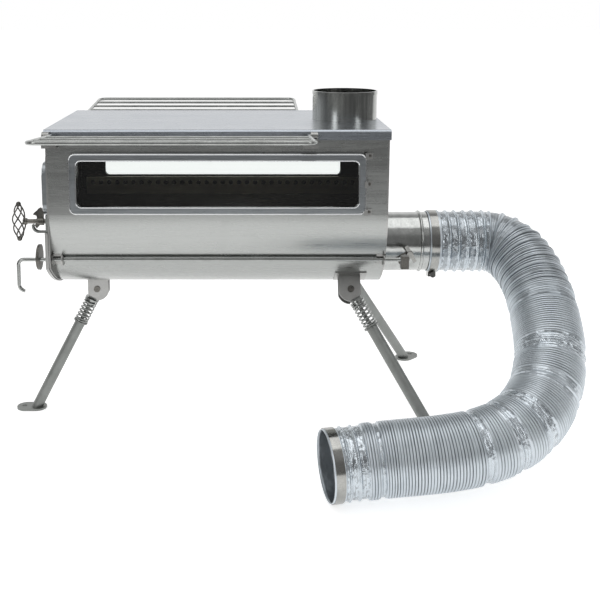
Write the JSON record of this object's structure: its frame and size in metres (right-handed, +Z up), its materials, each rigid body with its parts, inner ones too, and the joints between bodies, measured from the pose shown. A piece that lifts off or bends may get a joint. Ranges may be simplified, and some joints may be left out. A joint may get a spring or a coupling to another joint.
{
  "type": "tent wood stove",
  "caption": "Tent wood stove with side windows, a windowed door, folding wire racks, three folding legs and an outside air hose.",
  "frame": {"origin": "on the ground, under the middle of the box round the stove without its hose", "axes": "+X from the loading door to the air pipe, +Y to the rear side, +Z up; the hose lies on the front side, -Y"},
  "size_m": [0.7751, 0.6168, 0.464],
  "materials": {
    "satin_steel": "satin",
    "bright_steel": "polished",
    "plate_steel": "satin",
    "leg_steel": "matte",
    "dark_steel": "matte",
    "clear_glass": "polished",
    "seal_rope": "matte",
    "foil": "gloss"
  },
  "bodies": {
    "stove": {"barrel": "satin_steel", "top_plate": "plate_steel", "flue_collar": "bright_steel", "end_frame": "satin_steel", "front_panel": "satin_steel", "back_plate": "satin_steel", "window_frame_front": "bright_steel", "window_glass_front": "clear_glass", "window_frame_rear": "bright_steel", "window_glass_rear": "clear_glass", "window_seals": "seal_rope", "window_clips": "satin_steel", "fire_grate": "dark_steel", "baffle_plate": "dark_steel", "air_channel_front": "dark_steel", "air_channel_rear": "dark_steel", "air_pipe": "bright_steel", "rod_bracket_left": "satin_steel", "rod_bracket_right": "satin_steel", "rack_hinges_front": "satin_steel", "rack_hinges_rear": "satin_steel", "leg_bracket_left": "satin_steel", "leg_bracket_front": "satin_steel", "leg_bracket_rear": "satin_steel", "leg_pivot_pins": "bright_steel", "latch_keeper": "leg_steel", "door_hinge_leaf": "satin_steel", "door_hinge_pin": "bright_steel", "hose": "foil", "hose_clamp_upper": "bright_steel", "hose_clamp_lower": "bright_steel"},
    "door": {"door_pan": "satin_steel", "door_window_frame": "bright_steel", "door_glass": "clear_glass", "door_seal": "seal_rope", "door_hinge_straps": "satin_steel"},
    "handle": {"handle_basket": "dark_steel", "handle_shaft": "dark_steel", "latch_cam": "dark_steel"},
    "rod": {"control_rod": "bright_steel", "rod_end_lug": "dark_steel", "draft_disc": "dark_steel"},
    "damper": {"damper_plate": "satin_steel", "damper_shaft": "bright_steel", "damper_crank": "dark_steel", "damper_nut": "bright_steel"},
    "rack_front": {"rack_front": "bright_steel"},
    "rack_rear": {"rack_rear": "bright_steel"},
    "leg_left": {"leg_left": "leg_steel", "foot_left": "leg_steel", "spring_left": "bright_steel"},
    "sleeve_left": {"sleeve_left": "bright_steel"},
    "leg_front": {"leg_front": "leg_steel", "foot_front": "leg_steel", "spring_front": "bright_steel"},
    "sleeve_front": {"sleeve_front": "bright_steel"},
    "leg_rear": {"leg_rear": "leg_steel", "foot_rear": "leg_steel", "spring_rear": "bright_steel"},
    "sleeve_rear": {"sleeve_rear": "bright_steel"}
  },
  "joints": [
    {"name": "door_hinge", "type": "hinge", "parent": "stove", "child": "door", "pos_m": [-0.23546, 0.12, 0.3425], "axis": [0, 0, -1], "range_deg": [0, 110]},
    {"name": "handle_turn", "type": "hinge", "parent": "door", "child": "handle", "pos_m": [-0.23496, -0.104, 0.3005], "axis": [1, 0, 0], "range_deg": [0, 90]},
    {"name": "rod_slide", "type": "slide", "parent": "stove", "child": "rod", "axis": [1, 0, 0], "range_m": [0, 0.0107]},
    {"name": "damper_turn", "type": "hinge", "parent": "stove", "child": "damper", "pos_m": [0.24384, 0, 0.25], "axis": [0, -1, 0], "range_deg": [0, 50]},
    {"name": "rack_front_fold", "type": "hinge", "parent": "stove", "child": "rack_front", "pos_m": [-0.01216, -0.1365, 0.417], "axis": [-1, 0, 0], "range_deg": [0, 100]},
    {"name": "rack_rear_fold", "type": "hinge", "parent": "stove", "child": "rack_rear", "pos_m": [-0.01216, 0.1365, 0.417], "axis": [1, 0, 0], "range_deg": [0, 100]},
    {"name": "leg_left_fold", "type": "hinge", "parent": "stove", "child": "leg_left", "pos_m": [-0.18866, 0, 0.1815], "axis": [0, -1, 0], "range_deg": [0, 115]},
    {"name": "sleeve_left_slide", "type": "slide", "parent": "leg_left", "child": "sleeve_left", "axis": [-0.4617, 0, -0.887], "range_m": [0, 0.008], "stiffness_N_per_m": 300, "springref_m": -0.004, "deforming": ["spring_left"]},
    {"name": "leg_front_fold", "type": "hinge", "parent": "stove", "child": "leg_front", "pos_m": [0.16434, -0.08595, 0.20156], "axis": [0, 0.848, -0.5299], "range_deg": [0, 115]},
    {"name": "sleeve_front_slide", "type": "slide", "parent": "leg_front", "child": "sleeve_front", "axis": [0.4617, -0.47, -0.7522], "range_m": [0, 0.008], "stiffness_N_per_m": 300, "springref_m": -0.004, "deforming": ["spring_front"]},
    {"name": "leg_rear_fold", "type": "hinge", "parent": "stove", "child": "leg_rear", "pos_m": [0.16434, 0.08595, 0.20156], "axis": [0, 0.848, 0.5299], "range_deg": [0, 115]},
    {"name": "sleeve_rear_slide", "type": "slide", "parent": "leg_rear", "child": "sleeve_rear", "axis": [0.4617, 0.47, -0.7522], "range_m": [0, 0.008], "stiffness_N_per_m": 300, "springref_m": -0.004, "deforming": ["spring_rear"]}
  ],
  "couplings": [
    {"joint": "damper_turn", "follows": "rod_slide", "rad_per_m": 80.2}
  ]
}
